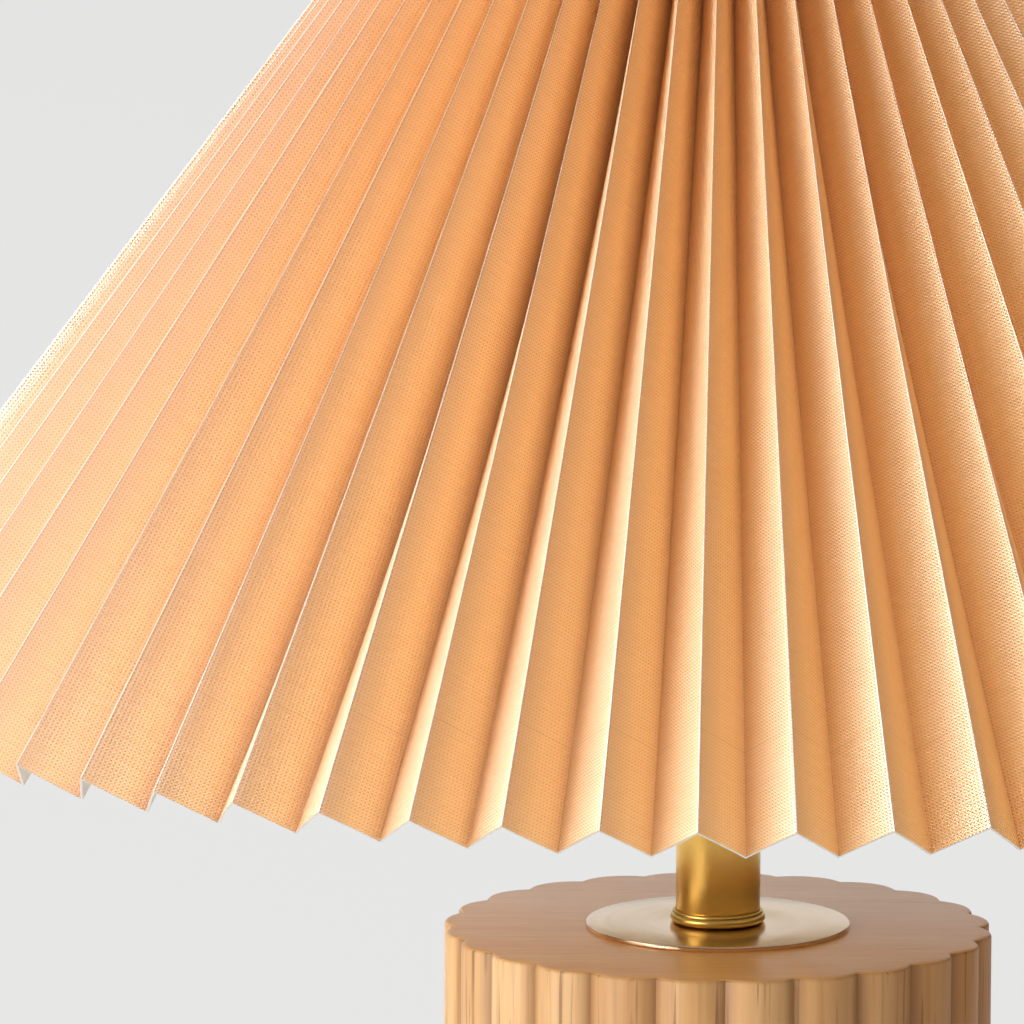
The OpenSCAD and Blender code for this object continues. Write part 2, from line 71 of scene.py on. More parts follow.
def modify(obj, kind, **settings):
    """Adds a modifier to a piece and applies it."""
    work_on(obj)
    item = obj.modifiers.new(kind, kind)
    for key, value in settings.items():
        setattr(item, key, value)
    bpy.ops.object.modifier_apply(modifier=item.name)


def ease(obj, width, segments=2, angle=30):
    """Rounds every edge that is sharper than the angle."""
    modify(obj, "BEVEL", width=width, segments=segments, limit_method="ANGLE",
           angle_limit=math.radians(angle))


def settle(obj, name, nodes, slot, *finishes, body="stand", angle=35):
    """Names a finished piece, smooths it, and gives it its finish and its place in the lamp."""
    work_on(obj)
    bpy.ops.object.transform_apply(location=True, rotation=True, scale=True)
    bpy.ops.object.shade_smooth_by_angle(angle=math.radians(angle))
    obj.name = name
    obj.data.name = name
    for finish in finishes:
        obj.data.materials.append(finish)
    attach(obj, body)
    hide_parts(*nodes)


def put(tree, kind, sockets=None, **settings):
    """Adds a node, sets its options, and gives each named input a value or a link."""
    item = tree.nodes.new(kind)
    for key, value in settings.items():
        setattr(item, key, value)
    for key, value in (sockets or {}).items():
        if isinstance(value, bpy.types.NodeSocket):
            tree.links.new(value, item.inputs[key])
        else:
            item.inputs[key].default_value = value
    return item


def material(name, **sockets):
    """A new material with a Principled shader, whose sockets are named with underscores."""
    made = bpy.data.materials.new(name)
    made.use_nodes = True
    tree = made.node_tree
    shader = tree.nodes["Principled BSDF"]
    for key, value in sockets.items():
        shader.inputs[key.replace("_", " ")].default_value = value
    coords = put(tree, "ShaderNodeTexCoord")
    return made, tree, shader, coords.outputs["Object"]


def noise(tree, vector, scale, detail=3.0, rough=0.5):
    return put(tree, "ShaderNodeTexNoise", {
        "Vector": vector, "Scale": scale, "Detail": detail, "Roughness": rough}).outputs["Fac"]


def remap(tree, value, low, high, to_low=0.0, to_high=1.0):
    """Stretches a value from one range to another, and keeps it inside that one."""
    return put(tree, "ShaderNodeMapRange", {
        "Value": value, "From Min": low, "From Max": high,
        "To Min": to_low, "To Max": to_high}).outputs["Result"]


def blend(tree, factor, first, second):
    """Mixes two colours."""
    mixed = put(tree, "ShaderNodeMix", data_type="RGBA")
    for at, value in ((0, factor), (6, first), (7, second)):
        if isinstance(value, bpy.types.NodeSocket):
            tree.links.new(value, mixed.inputs[at])
        else:
            mixed.inputs[at].default_value = value
    return mixed.outputs[2]


def bump(tree, height, distance, strength=1.0):
    return put(tree, "ShaderNodeBump", {
        "Height": height, "Distance": distance, "Strength": strength}).outputs["Normal"]


def feed(tree, shader, **links):
    """Links outputs to the shader's sockets, which are named with underscores."""
    for key, value in links.items():
        tree.links.new(value, shader.inputs[key.replace("_", " ")])


def math_node(tree, operation, first, second=None):
    """One step of arithmetic on links or plain numbers."""
    item = put(tree, "ShaderNodeMath", operation=operation)
    for at, value in ((0, first), (1, second)):
        if isinstance(value, bpy.types.NodeSocket):
            tree.links.new(value, item.inputs[at])
        elif value is not None:
            item.inputs[at].default_value = value
    return item.outputs[0]


felt, tree, shader, place = material("felt", Roughness=0.95, Sheen_Weight=0.35, Sheen_Roughness=0.6)
fibres = noise(tree, place, 2600.0, 4.0, 0.7)
clumps = noise(tree, place, 140.0, 3.0)
wool = blend(tree, fibres, (0.030, 0.027, 0.025, 1), (0.105, 0.096, 0.088, 1))
wool = blend(tree, remap(tree, clumps, 0.3, 0.7, 0.0, 0.35), wool, (0.055, 0.05, 0.046, 1))
feed(tree, shader, Base_Color=wool, Normal=bump(tree, fibres, 0.0006, 0.7))

low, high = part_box("foot_pad")
deselect()
bpy.ops.mesh.primitive_cylinder_add(vertices=128, radius=high.x, depth=high.z - low.z,
                                    location=(0, 0, (low.z + high.z) / 2))
pad = bpy.context.object
pad_edge = 0.0004
ease(pad, pad_edge)
settle(pad, "foot_pad_felt", ["foot_pad"], "felt", felt)


# Base: one block of light wood, turned and then fluted with 24 half-round lobes that meet in sharp grooves.
# The edges are eased by sanding, a recess is bored up from below for the weight, and the wood has a
# matt clear coat. The flat top shows its grain lengthwise, the flutes show it upright.
crest_r = 0.052
groove_depth = 0.0021
lobe_count = 24
arc_steps = 12
edge_round = 0.0008
round_steps = 4
recess_r = 0.038
recess_depth = 0.033
rod_hole_r = 0.0054
inlet_z = 0.011
inlet_r = 0.00504
flange_seat_r = 0.00704
flange_seat_y = 0.0487

low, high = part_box("base_body")
half_lobe = math.pi / lobe_count
groove_r = crest_r - groove_depth
lobe_chord = groove_r * math.sin(half_lobe)
lobe_rise = crest_r - groove_r * math.cos(half_lobe)
lobe_r = (lobe_chord ** 2 + lobe_rise ** 2) / (2 * lobe_rise)
lobe_turn = 2 * math.asin(lobe_chord / lobe_r)
lobe_at = (crest_r - lobe_r) * Vector((math.cos(half_lobe), math.sin(half_lobe), 0))


def single_point(at):
    """A new mesh with one vertex at a place, open in edit mode and selected."""
    deselect()
    bpy.ops.mesh.primitive_plane_add(size=0.001, location=(0, 0, 0))
    bpy.ops.object.mode_set(mode="EDIT")
    bpy.ops.mesh.select_mode(type="VERT")
    bpy.ops.mesh.select_all(action="SELECT")
    bpy.ops.mesh.merge(type="CENTER")
    bpy.ops.transform.translate(value=at)
    return bpy.context.object


def spin(angle, steps, center=(0, 0, 0), copies=False):
    """Spins what is selected to the left about an upright axis."""
    bpy.ops.mesh.spin(steps=steps, angle=-angle, dupli=copies, center=center, axis=(0, 0, 1))


base = single_point((groove_r, 0, low.z))
spin(lobe_turn, arc_steps, center=(lobe_at.x, lobe_at.y, low.z))
bpy.ops.mesh.select_all(action="SELECT")
spin(2 * math.pi, lobe_count, copies=True)
bpy.ops.mesh.select_all(action="SELECT")
bpy.ops.mesh.remove_doubles(threshold=1e-6)
bpy.ops.mesh.edge_face_add()
bpy.ops.mesh.extrude_region_move(TRANSFORM_OT_translate={"value": (0, 0, high.z - low.z - edge_round)})
# The top face is drawn in and up along a quarter round, and then the bottom face in and down
for end in (1, -1):
    if end < 0:
        choose("FACE", lambda f: len(f.verts) > 4 and f.calc_center_median().z < low.z + edge_round)
        bpy.ops.transform.translate(value=(0, 0, edge_round))
    for step in range(round_steps):
        a = math.pi / 2 * step / round_steps
        b = math.pi / 2 * (step + 1) / round_steps
        bpy.ops.mesh.inset(thickness=edge_round * (math.cos(a) - math.cos(b)), depth=0,
                           use_even_offset=True)
        bpy.ops.transform.translate(value=(0, 0, end * edge_round * (math.sin(b) - math.sin(a))))
bpy.ops.mesh.select_all(action="SELECT")
bpy.ops.mesh.normals_make_consistent(inside=False)
bpy.ops.object.mode_set(mode="OBJECT")


def bore(obj, radius, depth, at, turn=(0, 0, 0), vertices=96):
    """Bores a round hole with a cutter whose centre is at a place."""
    deselect()
    bpy.ops.mesh.primitive_cylinder_add(vertices=vertices, radius=radius, depth=depth, location=at,
                                        rotation=turn)
    cutter = bpy.context.object
    modify(obj, "BOOLEAN", operation="DIFFERENCE", object=cutter, solver="EXACT")
    bpy.data.objects.remove(cutter)


sideways = (math.pi / 2, 0, 0)
seat_cut = 0.02
bore(base, recess_r, 2 * recess_depth, (0, 0, low.z))
bore(base, rod_hole_r, 2 * high.z, (0, 0, high.z / 2), vertices=48)
bore(base, inlet_r, recess_r, (0, 1.2 * recess_r, inlet_z), sideways, 48)
bore(base, flange_seat_r, seat_cut, (0, flange_seat_y + seat_cut / 2, inlet_z), sideways, 64)
base.data.materials.clear()


def group(name, inputs, outputs):
    """A new shader node group with named sockets."""
    tree = bpy.data.node_groups.new(name, "ShaderNodeTree")
    for label, kind, value in inputs:
        socket = tree.interface.new_socket(label, in_out="INPUT", socket_type=kind)
        if value is not None:
            socket.default_value = value
    for label, kind in outputs:
        tree.interface.new_socket(label, in_out="OUTPUT", socket_type=kind)
    given = tree.nodes.new("NodeGroupInput").outputs
    out = tree.nodes.new("NodeGroupOutput").inputs
    return tree, given, out


def use(tree, made, **sockets):
    """Places a node group and returns its outputs."""
    item = tree.nodes.new("ShaderNodeGroup")
    item.node_tree = made
    for key, value in sockets.items():
        key = key.replace("_", " ")
        if isinstance(value, bpy.types.NodeSocket):
            tree.links.new(value, item.inputs[key])
        else:
            item.inputs[key].default_value = value
    return item.outputs


# Grain: broad bands, fine lines and short pores, all drawn out along the Z axis of the vector it is given
grain, given, out = group(
    "grain",
    [("Vector", "NodeSocketVector", None), ("Bands", "NodeSocketFloat", 90.0),
     ("Lines", "NodeSocketFloat", 900.0), ("Stretch", "NodeSocketFloat", 0.03)],
    [("Bands", "NodeSocketFloat"), ("Lines", "NodeSocketFloat"), ("Pores", "NodeSocketFloat")])
tree = grain
stretch = put(tree, "ShaderNodeCombineXYZ", {"X": 1.0, "Y": 1.0, "Z": given["Stretch"]}).outputs[0]
drawn = put(tree, "ShaderNodeVectorMath", {0: given["Vector"], 1: stretch}, operation="MULTIPLY").outputs[0]
bent = put(tree, "ShaderNodeTexNoise", {"Vector": drawn, "Scale": 40.0, "Detail": 2.0}).outputs["Color"]
sway = put(tree, "ShaderNodeVectorMath", {0: bent, "Scale": 0.006}, operation="SCALE").outputs[0]
drawn = put(tree, "ShaderNodeVectorMath", {0: drawn, 1: sway}, operation="ADD").outputs[0]
bands = noise(tree, drawn, given["Bands"], 5.0, 0.6)
lines = noise(tree, drawn, given["Lines"], 3.0, 0.65)
pores = noise(tree, drawn, math_node(tree, "MULTIPLY", given["Lines"], 2.1), 1.0)
tree.links.new(remap(tree, bands, 0.3, 0.7), out["Bands"])
tree.links.new(remap(tree, lines, 0.25, 0.75), out["Lines"])
tree.links.new(remap(tree, pores, 0.62, 0.72), out["Pores"])

# Flutes: upright grain and a tint of its own for each lobe. Painted shade browns the wood towards the +X
# side and down in the grooves
honey = (1.0, 0.66, 0.33, 1)
tan = (0.84, 0.44, 0.15, 1)
streak_brown = (0.48, 0.21, 0.07, 1)
lobe_brown = (0.58, 0.28, 0.10, 1)
side_shade_brown = (0.52, 0.20, 0.04, 1)
groove_shade_brown = (0.36, 0.16, 0.055, 1)
pore_brown = (0.22, 0.085, 0.028, 1)
flute_wood, tree, shader, place = material(
    "flute_wood", Roughness=0.5, Coat_Weight=0.15, Coat_Roughness=0.3)
wood = use(tree, grain, Vector=place, Bands=140.0, Lines=480.0, Stretch=0.035)
parts = put(tree, "ShaderNodeSeparateXYZ", {0: place}).outputs
round_way = math_node(tree, "ARCTAN2", parts["Y"], parts["X"])
lobes_round = math_node(tree, "MULTIPLY", round_way, lobe_count / (2 * math.pi))
which = math_node(tree, "FLOOR", lobes_round)
from_groove = math_node(tree, "PINGPONG", lobes_round, 0.5)
tint = put(tree, "ShaderNodeTexWhiteNoise", {"W": which}, noise_dimensions="1D").outputs["Value"]
tone = blend(tree, wood["Bands"], honey, tan)
tone = blend(tree, remap(tree, wood["Lines"], 0.45, 1.0, 0.0, 0.65), tone, streak_brown)
tone = blend(tree, remap(tree, tint, 0, 1, 0.0, 0.6), tone, lobe_brown)
# Painted shade: the wood is browner towards the +X side
tone = blend(tree, remap(tree, parts["X"], 0.0, 0.046, 0.0, 0.75), tone, side_shade_brown)
# Painted shade: the wood is browner down in each groove
tone = blend(tree, remap(tree, from_groove, 0.0, 0.18, 0.8, 0.0), tone, groove_shade_brown)
tone = blend(tree, remap(tree, wood["Pores"], 0, 1, 0.0, 0.65), tone, pore_brown)
rough = remap(tree, wood["Lines"], 0, 1, 0.42, 0.58)
height = math_node(tree, "SUBTRACT", wood["Lines"], wood["Pores"])
feed(tree, shader, Base_Color=tone, Roughness=rough, Normal=bump(tree, height, 0.00008, 0.6))

top_wood, tree, shader, place = material("top_wood", Roughness=0.45, Coat_Weight=0.5, Coat_Roughness=0.28)
lie = (0, math.pi / 2, math.radians(6))
turned = put(tree, "ShaderNodeMapping", {"Vector": place, "Rotation": lie}).outputs[0]
wood = use(tree, grain, Vector=turned, Bands=85.0, Lines=1100.0, Stretch=0.06)
tone = blend(tree, wood["Bands"], (1.0, 0.51, 0.17, 1), (0.94, 0.41, 0.11, 1))
tone = blend(tree, remap(tree, wood["Lines"], 0.4, 1.0, 0.0, 0.4), tone, (0.62, 0.26, 0.06, 1))
rough = remap(tree, wood["Lines"], 0, 1, 0.34, 0.46)
feed(tree, shader, Base_Color=tone, Roughness=rough, Normal=bump(tree, wood["Lines"], 0.00003, 0.5))

settle(base, "fluted_base", ["base_body"], "wood", flute_wood, top_wood)
for face in base.data.polygons:
    face.material_index = int(face.normal.z > 0.8 and face.center.z > high.z - edge_round / 2)


# Cord inlet: a flanged bush of dark brown plastic, pushed from outside into the hole at the back.
# Its rim is rounded, so that nothing chafes on it, and it is moulded with a fine matt texture.
def lathe(outline, steps=96):
    """Turns a closed outline of (radius, height) points about the Z axis."""
    obj = single_point((outline[0][0], 0, outline[0][1]))
    for here, there in zip(outline, outline[1:] + outline[:1]):
        bpy.ops.mesh.extrude_region_move(
            TRANSFORM_OT_translate={"value": (there[0] - here[0], 0, there[1] - here[1])})
    bpy.ops.mesh.select_all(action="SELECT")
    bpy.ops.mesh.remove_doubles(threshold=1e-6)
    bpy.ops.mesh.select_all(action="SELECT")
    spin(2 * math.pi, steps)
    bpy.ops.mesh.select_all(action="SELECT")
    bpy.ops.mesh.remove_doubles(threshold=1e-6)
    bpy.ops.mesh.normals_make_consistent(inside=False)
    bpy.ops.object.mode_set(mode="OBJECT")
    return obj


# Handling: soft smudges and faint pits that every smooth hard surface picks up
handling, given, out = group(
    "handling",
    [("Vector", "NodeSocketVector", None), ("Smudge Scale", "NodeSocketFloat", 60.0),
     ("Pit Scale", "NodeSocketFloat", 2200.0)],
    [("Smudge", "NodeSocketFloat"), ("Pits", "NodeSocketFloat")])
tree = handling
smudge = noise(tree, given["Vector"], given["Smudge Scale"], 5.0, 0.62)
pits = noise(tree, given["Vector"], given["Pit Scale"], 2.0, 0.6)
tree.links.new(remap(tree, smudge, 0.32, 0.68), out["Smudge"])
tree.links.new(pits, out["Pits"])


def moulded(name, dark, light, rough, relief=0.00003, smudge_scale=60.0, pit_scale=2200.0, **sockets):
    """A plain moulded, cast or coated finish: slight colour drift, smudges and a fine texture."""
    made, tree, shader, place = material(name, **sockets)
    marks = use(tree, handling, Vector=place, Smudge_Scale=smudge_scale, Pit_Scale=pit_scale)
    drift = blend(tree, marks["Smudge"], (*dark, 1), (*light, 1))
    feed(tree, shader,
         Base_Color=blend(tree, remap(tree, marks["Pits"], 0.3, 0.7, 0.0, 0.25), drift, (*dark, 1)),
         Roughness=remap(tree, marks["Smudge"], 0, 1, rough - 0.07, rough + 0.07),
         Normal=bump(tree, marks["Pits"], relief, 0.6))
    return made


brown_plastic = moulded("brown_plastic", (0.026, 0.012, 0.006), (0.045, 0.021, 0.010), 0.48)
low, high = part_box("cord_inlet")
inlet_bore_r = 0.0034
bush_r = 0.005
flange_r = (high.x - low.x) / 2
flange_t = 0.0015
length = high.y - low.y
bush_edge = 0.00045
bush = lathe([(inlet_bore_r, 0), (bush_r, 0), (bush_r, length - flange_t), (flange_r, length - flange_t),
              (flange_r, length), (inlet_bore_r, length)], 64)
ease(bush, bush_edge, 3)
bush.rotation_euler = (-math.pi / 2, 0, 0)
bush.location = (0, low.y, inlet_z)
settle(bush, "cord_inlet_bush", ["cord_inlet"], "brown_plastic", brown_plastic)


# Weight and clamp: a cast iron ring in the recess, a steel washer and a hexagon nut under it,
# all drawn tight on the zinc plated tube that runs up through the base and the neck.
cast_iron = moulded("cast_iron", (0.018, 0.018, 0.020), (0.040, 0.038, 0.037), 0.72, 0.0004, 90.0, 700.0,
                    Metallic=0.6)
zinc_steel = moulded("zinc_steel", (0.42, 0.42, 0.40), (0.62, 0.62, 0.60), 0.32, 0.00001, 180.0, 3000.0,
                     Metallic=1.0)


def dress(names, finish):
    """Gives carried-over pieces their finish."""
    for name in names:
        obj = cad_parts[name]
        obj.data.materials.clear()
        obj.data.materials.append(finish)


dress(["base_weight"], cast_iron)
dress(["rod_washer", "rod_nut", "threaded_tube", "holder_grub_screw"], zinc_steel)


# Seat disc: 1 mm brass sheet, spun flat, satin polished and lacquered. Its rim is broken by hand,
# so it catches a bright line. It spreads the clamping of the neck over the wood.
# Lathe lines: fine rings about the Z axis, as a polishing mop leaves them on a turned or spun piece
lathe_lines, given, out = group(
    "lathe_lines",
    [("Vector", "NodeSocketVector", None), ("Fineness", "NodeSocketFloat", 3000.0)],
    [("Lines", "NodeSocketFloat")])
tree = lathe_lines
parts = put(tree, "ShaderNodeSeparateXYZ", {0: given["Vector"]}).outputs
flat = put(tree, "ShaderNodeCombineXYZ", {"X": parts["X"], "Y": parts["Y"]}).outputs[0]
radius = put(tree, "ShaderNodeVectorMath", {0: flat}, operation="LENGTH").outputs["Value"]
drawn = put(tree, "ShaderNodeCombineXYZ", {
    "X": math_node(tree, "MULTIPLY", radius, given["Fineness"]),
    "Y": math_node(tree, "MULTIPLY", parts["Z"], given["Fineness"]),
    "Z": math_node(tree, "MULTIPLY", parts["X"], 30.0)}).outputs[0]
tree.links.new(noise(tree, drawn, 1.0, 3.0, 0.7), out["Lines"])


def satin(name, colour, deep, rough, fineness=3000.0, relief=0.000004):
    """Satin polished metal with fine lathe lines and faint stains."""
    made, tree, shader, place = material(name, Metallic=1.0, Specular_IOR_Level=0.5)
    lines = use(tree, lathe_lines, Vector=place, Fineness=fineness)["Lines"]
    marks = use(tree, handling, Vector=place, Smudge_Scale=110.0, Pit_Scale=900.0)
    stain = remap(tree, marks["Smudge"], 0.4, 1.0, 0.0, 0.30)
    tone = blend(tree, stain, (*colour, 1), (*deep, 1))
    specks = remap(tree, marks["Pits"], 0.72, 0.80, 0.0, 0.6)
    feed(tree, shader, Base_Color=blend(tree, specks, tone, (*deep, 1)),
         Roughness=remap(tree, lines, 0.2, 0.8, rough - 0.05, rough + 0.07),
         Normal=bump(tree, lines, relief, 0.5))
    return made


disc_brass = satin("disc_brass", (0.88, 0.67, 0.45), (0.78, 0.54, 0.32), 0.2, 1500.0, 0.000002)
low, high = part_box("seat_disc")
disc_r = (high.x - low.x) / 2
disc_edge = 0.00028
disc = lathe([(rod_hole_r, low.z), (disc_r, low.z), (disc_r, high.z), (rod_hole_r, high.z)], 160)
ease(disc, disc_edge, 3)
settle(disc, "seat_disc_brass", ["seat_disc"], "satin_brass", disc_brass)


# Bead: a rolled brass ring that closes the foot of the neck and hides its cut end.
# A full round below, and a thin lip above it against the tube.
neck_brass = satin("neck_brass", (0.80, 0.51, 0.13), (0.70, 0.41, 0.09), 0.31, 1200.0, 0.000002)
low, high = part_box("neck_bead")
neck_r = 0.008
bead_r = (high.x - low.x) / 2
roll_r = 0.00095
lip_r = bead_r - 0.00045
lip_z = low.z + 1.95 * roll_r
lip_edge = 0.00015
slip = 0.00004
roll = [(bead_r - roll_r + roll_r * math.cos(a), low.z + roll_r + roll_r * math.sin(a))
        for a in [math.radians(d) for d in range(-90, 76, 15)]]
lip = [(lip_r, lip_z), (lip_r, high.z - lip_edge), (lip_r - lip_edge, high.z)]
bead = lathe([(neck_r + slip, low.z)] + roll + lip + [(neck_r + slip, high.z)], 128)
settle(bead, "neck_bead_brass", ["neck_bead"], "satin_brass", neck_brass, angle=50)


# Neck: a 16 mm drawn brass tube with a 1 mm wall, cut square, satin polished and lacquered.
# It only covers the threaded tube and is held by its ends. The turned cap on it centres it.
low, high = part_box("neck_tube")
neck_bore_r = neck_r - 0.001
cut_edge = 0.00015
tube = lathe([(neck_bore_r, low.z), (neck_r, low.z), (neck_r, high.z), (neck_bore_r, high.z)], 128)
ease(tube, cut_edge)
settle(tube, "neck_tube_brass", ["neck_tube"], "satin_brass", neck_brass)

low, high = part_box("neck_cap")
cap_r = (high.x - low.x) / 2
plug_r = neck_bore_r - slip
plug_h = 0.002
cap_edge = 0.0003
cap = lathe([(rod_hole_r, low.z), (plug_r, low.z), (plug_r, low.z + plug_h), (cap_r, low.z + plug_h),
             (cap_r, high.z), (rod_hole_r, high.z)], 128)
ease(cap, cap_edge, 3)
settle(cap, "neck_cap_brass", ["neck_cap"], "satin_brass", neck_brass)


# Lampholder: moulded white cap with grip grooves, a glazed porcelain core with its screws and brass
# contacts, and a threaded skirt that closes it. The two flat shade rings run on the skirt's thread.
white_plastic = moulded("white_plastic", (0.70, 0.68, 0.63), (0.78, 0.765, 0.72), 0.42, 0.00002)
porcelain = moulded("porcelain", (0.78, 0.77, 0.73), (0.84, 0.83, 0.80), 0.16, 0.00002, 40.0, 500.0,
                    Coat_Weight=0.6, Coat_Roughness=0.06)
plain_brass = moulded("plain_brass", (0.52, 0.34, 0.12), (0.75, 0.54, 0.24), 0.3, 0.00001, 150.0, 2500.0,
                      Metallic=1.0)
dress(["holder_cap", "holder_skirt", "shade_rings"], white_plastic)
dress(["holder_core"], porcelain)
dress(["terminal_screws", "screw_shell", "centre_contact"], plain_brass)


# Bulb: a clear glass ball on a nickel plated screw cap, with a glass stem that carries four straight
# filaments between two small wire spiders. It is sealed, and screws into the lampholder.
clear_glass, tree, shader, place = material(
    "clear_glass", Base_Color=(0.98, 0.985, 0.98, 1), Transmission_Weight=1.0, IOR=1.46, Roughness=0.02)
marks = use(tree, handling, Vector=place, Smudge_Scale=45.0, Pit_Scale=300.0)
feed(tree, shader, Roughness=remap(tree, marks["Smudge"], 0.3, 1.0, 0.01, 0.05),
     Normal=bump(tree, marks["Pits"], 0.00004, 0.3))
nickel = moulded("nickel_shell", (0.52, 0.51, 0.48), (0.70, 0.69, 0.66), 0.25, 0.00001, 150.0, 2500.0,
                 Metallic=1.0)
black_glass = moulded("black_glass", (0.006, 0.006, 0.008), (0.012, 0.012, 0.014), 0.14, 0.00002)
phosphor = moulded("phosphor", (0.72, 0.42, 0.06), (0.86, 0.55, 0.10), 0.62, 0.00005, 300.0, 2600.0)
dress(["bulb_glass", "bulb_stem"], clear_glass)
dress(["bulb_cap", "bulb_contact", "filament_wires"], nickel)
dress(["bulb_insulator"], black_glass)
dress(["bulb_filaments"], phosphor)


# Shade frame: steel wire, spot-welded from a flat fitter ring, three arms, two rings and six uprights,
# then powder coated white. The coat is slightly pebbled.
white_wire = moulded("white_wire", (0.70, 0.69, 0.66), (0.78, 0.775, 0.75), 0.4, 0.00006, 80.0, 1500.0,
                     Coat_Weight=0.2, Coat_Roughness=0.25)
dress(["fitter_ring", "fitter_arm_1", "fitter_arm_2", "fitter_arm_3", "lower_ring", "upper_ring",
       "rib_1", "rib_2", "rib_3", "rib_4", "rib_5", "rib_6"], white_wire)


# Pleated skin: an orange slub weave laminated on a pale stiff sheet, scored and folded into 60 pleats
# whose sides keep one width, then closed to a cone and glued to the rings. The folds are pressed
# hard, and the colour is paler along every ridge. The cut edge shows the pale sheet.
hem_r = 0.170
top_r = 0.052
hem_z = 0.2018
shade_h = 0.159
pleat_count = 60
panel_w = 0.01335
cross_line_up = 0.021
skin_t = 0.00045
across = [0.0, 0.02, 0.16, 0.38, 0.62, 0.84, 1.0]
rows = 44
ridge_round = 0.00010
fold_drift = 0.00022
bow = 0.00018

slope = math.atan2(hem_r - top_r, shade_h)
slant = math.hypot(hem_r - top_r, shade_h)
half_pleat = math.pi / pleat_count
dice = random.Random(7)


def ridge_radius(s):
    """Radius of the ridges at a distance up the slant."""
    return hem_r - s * math.sin(slope)


def fold_depth(s):
    """How far the valleys lie behind the ridges, so that every side of a pleat keeps its width."""
    k = 2 * ridge_radius(s) * (1 - math.cos(half_pleat))
    b = k * math.cos(slope)
    c = panel_w ** 2 - k * ridge_radius(s)
    return (b + math.sqrt(b * b + 4 * c)) / 2


def crease(s):
    """Thickness of the folded sheet, measured through a fold."""
    valley_r = ridge_radius(s) - fold_depth(s) * math.cos(slope)
    return skin_t * panel_w / (valley_r * math.sin(half_pleat))


def fold_point(s, d, angle):
    """A point that lies a distance in from the ridges, at an angle about the axis."""
    r = ridge_radius(s) - d * math.cos(slope)
    z = hem_z + s * math.cos(slope) - d * math.sin(slope)
    return Vector((r * math.cos(angle), r * math.sin(angle), z))


folds = 2 * pleat_count
leans = [(dice.uniform(-1, 1), dice.uniform(-1, 1), dice.uniform(-1, 1)) for _ in range(folds)]
bows = [dice.uniform(-0.5, 1.0) for _ in range(folds)]


def fold_angle(i, s):
    """Angle of fold i about the axis: even numbers are valleys, odd ones ridges."""
    hem, middle, top = leans[i % folds]
    u = s / slant
    off = hem * (1 - u) ** 2 + middle * 2 * u * (1 - u) + top * 0.4 * u * u
    return i * half_pleat + fold_drift * off / ridge_radius(s)


skin_mesh = bmesh.new()
cloth_uv = skin_mesh.loops.layers.uv.new("cloth")
sides = {}
steps = len(across) - 1
for back in (0, 1):
    for row in range(rows + 1):
        s = slant * row / rows
        for i in range(folds):
            ridge, valley = (i, i + 1) if i % 2 else (i + 1, i)
            a = fold_point(s, back * crease(s), fold_angle(ridge, s))
            b = fold_point(s, back * crease(s) + fold_depth(s), fold_angle(valley, s))
            side = (b - a).normalized()
            rise = fold_point(s + 0.001, 0, fold_angle(ridge, s)) - fold_point(s, 0, fold_angle(ridge, s))
            out_way = side.cross(rise).normalized() * (1 if i % 2 else -1)
            for j in range(steps):
                share = across[j] if i % 2 else across[steps - j]
                point = a.lerp(b, share) + out_way * bow * bows[i] * 4 * share * (1 - share)
                if share == 0.0 and not back:
                    point = fold_point(s, ridge_round, fold_angle(ridge, s))
                sides[back, row, i * steps + j] = skin_mesh.verts.new(point)
columns = folds * steps


def flat_u(column):
    """Where a column of the mesh lies across the flat cloth."""
    i, j = divmod(column, steps)
    share = across[j] if i % 2 else 1 - across[steps - j]
    return (i + share) * panel_w


def face(corners, spots, outer):
    """Adds a face of the skin, with its corners' places on the flat cloth."""
    made = skin_mesh.faces.new(corners)
    made.material_index = 0 if outer else 1
    made.smooth = True
    for loop, spot in zip(made.loops, spots):
        loop[cloth_uv].uv = spot


for row in range(rows):
    v0, v1 = slant * row / rows, slant * (row + 1) / rows
    for c in range(columns):
        d = (c + 1) % columns
        u0, u1 = flat_u(c), flat_u(c + 1)
        spots = [(u0, v0), (u1, v0), (u1, v1), (u0, v1)]
        face([sides[0, row, c], sides[0, row, d], sides[0, row + 1, d], sides[0, row + 1, c]], spots, True)
        face([sides[1, row + 1, c], sides[1, row + 1, d], sides[1, row, d], sides[1, row, c]],
             [spots[3], spots[2], spots[1], spots[0]], False)
for c in range(columns):
    d = (c + 1) % columns
    u0, u1 = flat_u(c), flat_u(c + 1)
    face([sides[1, 0, c], sides[1, 0, d], sides[0, 0, d], sides[0, 0, c]],
         [(u0, -skin_t), (u1, -skin_t), (u1, 0), (u0, 0)], False)
    face([sides[0, rows, c], sides[0, rows, d], sides[1, rows, d], sides[1, rows, c]],
         [(u0, slant), (u1, slant), (u1, slant + skin_t), (u0, slant + skin_t)], False)
shape = bpy.data.meshes.new("shade_skin")
skin_mesh.to_mesh(shape)
skin_mesh.free()
skin = bpy.data.objects.new("shade_skin", shape)
bpy.context.scene.collection.objects.link(skin)

# Weave: slubby cross threads that pass over the long threads turn about, on a vector in metres along and
# up the flat cloth. Each cross thread shows as a rib, and as a row of raised crowns where it passes over.
weave, given, out = group(
    "weave",
    [("Vector", "NodeSocketVector", None), ("Thread", "NodeSocketFloat", 0.0004),
     ("Pick", "NodeSocketFloat", 0.0007), ("Slub", "NodeSocketFloat", 0.3)],
    [("Height", "NodeSocketFloat"), ("Crown", "NodeSocketFloat"), ("Slubs", "NodeSocketFloat")])
tree = weave
parts = put(tree, "ShaderNodeSeparateXYZ", {0: given["Vector"]}).outputs
slubs_along = 160.0
slubs_up = 1300.0
crown_share = 0.6


def arch(tree, turns):
    """A row of round arches, one for each whole number."""
    wave = math_node(tree, "SINE", math_node(tree, "MULTIPLY", turns, math.pi))
    return math_node(tree, "ABSOLUTE", wave)


